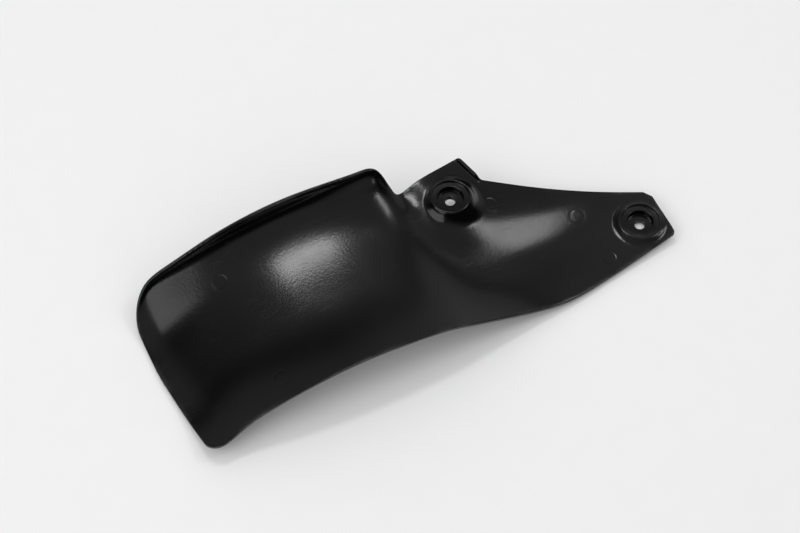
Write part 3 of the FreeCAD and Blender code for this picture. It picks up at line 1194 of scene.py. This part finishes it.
@dataclass(frozen=True)
class Fittings:
    """Places of the screw cups and the ejector marks on the sheet, in millimetres."""

    tab_cup_back: float = 5.4
    tab_cup_across: float = 35.4
    tab_cup_rise: float = 3.0
    tip_cup_back: float = 16.0
    tip_cup_across: float = -21.8
    tip_cup_rise: float = 0.7
    mark_places: tuple[tuple[str, float, float], ...] = (
        ("ramp", -7.7, 43.8),
        ("ramp", -1.6, -37.5),
        ("tab_end", -4.3, 24.1),
        ("neck", -15.6, -1.9),
        ("neck", -11.4, -37.2),
    )

    def cups(self, sheet: Sheet) -> tuple[ScrewCup, ScrewCup]:
        """Set the screw cups on the sheet.

        Args:
            sheet: The sheet that carries them.

        Returns:
            The tab's cup and the tip's cup.
        """
        tab = (sheet.place["tab"] - self.tab_cup_back, self.tab_cup_across)
        tip = (sheet.tip_end - self.tip_cup_back, self.tip_cup_across)
        return (
            ScrewCup(tab, sheet.height_at(tab) + self.tab_cup_rise),
            ScrewCup(tip, sheet.height_at(tip) + self.tip_cup_rise, land=2.4, draft=1.0, foot_blend=2.0),
        )

    def marks(self, sheet: Sheet) -> tuple[EjectorMark, ...]:
        """Set the ejector marks on the sheet, by a section's name and a distance past it."""
        return tuple(EjectorMark((sheet.place[name] + past, across))
                     for name, past, across in self.mark_places)


@dataclass(frozen=True)
class Lamp:
    """One soft box, placed by its direction from the flap."""

    name: str
    bearing: float
    elevation: float
    distance: float
    width: float
    depth: float
    power: float

    def build(self, camera_turn: float) -> bpy.types.Object:
        """Hang the soft box, aimed at the flap.

        Args:
            camera_turn: Angle of the picture's right in the row's frame, in degrees.

        Returns:
            The lamp.
        """
        data = bpy.data.lights.new(self.name, "AREA")
        data.shape = "RECTANGLE"
        data.size = self.width
        data.size_y = self.depth
        data.energy = self.power
        lamp = add_object(self.name, data)
        bearing = math.radians(self.bearing + camera_turn)
        rise = math.radians(self.elevation)
        level = math.cos(rise)
        toward = Vector((math.cos(bearing) * level, math.sin(bearing) * level, math.sin(rise)))
        lamp.location = toward * self.distance
        lamp.rotation_euler = toward.to_track_quat("Z", "Y").to_euler()
        return lamp


@dataclass
class Studio:
    """Pale floor, soft boxes, world and camera."""

    aim: Vector
    camera_turn: float = -26.0
    camera_elevation: float = 56.0
    camera_distance: float = 1.1
    lens: float = 76.5
    sensor: float = 36.0
    clip_end: float = 20.0
    floor_size: float = 6.0
    paper: PalePaper = PalePaper()
    sky: float = 0.71
    low_sky: float = 0.0
    high_sky: float = 0.32
    sky_span: Pair = (0.6, 0.97)
    side_sky: float = 0.12
    side_span: Pair = (-0.35, 0.25)
    backdrop: float = 0.25
    backdrop_span: Pair = (0.5, 0.75)
    far_span: Pair = (0.1, 0.55)
    lamps: tuple[Lamp, ...] = (
        Lamp("top_box", 112.0, 71.0, 1.5, 0.56, 0.17, 3.2),
        Lamp("left_box", 215.0, 46.0, 1.6, 1.27, 0.7, 4.6),
        Lamp("right_box", 15.0, 54.5, 1.6, 0.55, 0.2, 2.0),
    )

    def build(self) -> None:
        """Set up the whole studio."""
        self.lay_floor()
        for lamp in self.lamps:
            lamp.build(self.camera_turn)
        self.set_sky()
        self.set_camera()

    def lay_floor(self) -> None:
        """Lay the pale floor."""
        half = 0.5 * self.floor_size
        corners = [(-half, -half, 0.0), (half, -half, 0.0), (half, half, 0.0), (-half, half, 0.0)]
        mesh = bpy.data.meshes.new("floor")
        mesh.from_pydata(corners, [], [(0, 1, 2, 3)])
        mesh.materials.append(self.paper.material())
        floor = add_object("floor", mesh)

    def set_sky(self) -> None:
        """Give the world its plain pale light, and a dim room with a far backdrop for reflections."""
        world = bpy.data.worlds.new("studio_air")
        bpy.context.scene.world = world
        world.use_nodes = True
        tree = world.node_tree
        way = add_node(tree, "ShaderNodeTexCoord", {}).outputs["Generated"]
        turn = math.radians(self.camera_turn)
        ahead, aside, above = (self.toward(tree, way, axis) for axis in (
            (-math.sin(turn), math.cos(turn), 0.0), (math.cos(turn), math.sin(turn), 0.0), (0.0, 0.0, 1.0)))
        curve = "SMOOTHSTEP"
        glow = map_span(tree, above, self.sky_span, (self.low_sky, self.high_sky), curve)
        beyond = map_span(tree, ahead, self.far_span, (0.0, 1.0), curve)
        flank = map_span(tree, aside, self.side_span, (0.0, self.side_sky), curve)
        sweep = map_span(tree, above, self.backdrop_span, (self.backdrop, 0.0), curve)
        for part in (flank, sweep):
            glow = multiply_add(tree, part, beyond, glow)
        glossy = add_node(tree, "ShaderNodeLightPath", {}).outputs["Is Glossy Ray"]
        strength = add_node(tree, "ShaderNodeMix", {"Factor": glossy, "A": self.sky, "B": glow})
        shade = tree.nodes["Background"]
        shade.inputs["Color"].default_value = (1.0, 1.0, 1.0, 1.0)
        tree.links.new(strength.outputs["Result"], shade.inputs["Strength"])

    @staticmethod
    def toward(tree: Tree, way: Socket, axis: Triple) -> Socket:
        """Share of a direction that points along an axis."""
        node = add_node(tree, "ShaderNodeVectorMath", {0: way, 1: axis}, operation="DOT_PRODUCT")
        return node.outputs["Value"]

    def set_camera(self) -> None:
        """Place the camera at the photograph's angle."""
        data = bpy.data.cameras.new("camera")
        data.sensor_width = self.sensor
        data.lens = self.lens
        data.clip_end = self.clip_end
        camera = add_object("camera", data)
        turn = math.radians(self.camera_turn)
        rise = math.radians(self.camera_elevation)
        back = Vector((math.sin(turn) * math.cos(rise), -math.cos(turn) * math.cos(rise), math.sin(rise)))
        camera.location = self.aim + back * self.camera_distance
        camera.rotation_euler = back.to_track_quat("Z", "Y").to_euler()
        bpy.context.scene.camera = camera


def find_shift(cup: ScrewCup) -> Vector:
    """Way from the plan frame to the row's frame in metres, found by the hole of the tab's cup."""
    mounts = {mount["name"]: mount for mount in frame["record"]["mounts"]}
    return Vector(mounts["tab_screw_hole"]["pos_m"]) - Vector((*cup.centre, cup.hole_middle)) * METRE


def main() -> None:
    """Build the flap, dress it and light it."""
    logging.basicConfig(level=logging.INFO, format="%(message)s")
    bpy.context.scene.view_settings.view_transform = "Standard"
    sheet = Sheet()
    fittings = Fittings()
    cups = fittings.cups(sheet)
    shift = find_shift(cups[0])
    flap = MudFlap(sheet, cups, fittings.marks(sheet), shift)
    skin = flap.build()
    flap.dress(skin)
    LOG.info("%s: %d points, %d faces", skin.name, len(skin.data.vertices), len(skin.data.polygons))
    studio = Studio(Vector(AIM) * METRE + shift)
    studio.build()
    LOG.info("studio: a floor and %d soft boxes", len(studio.lamps))


if __name__ == "__main__":
    main()
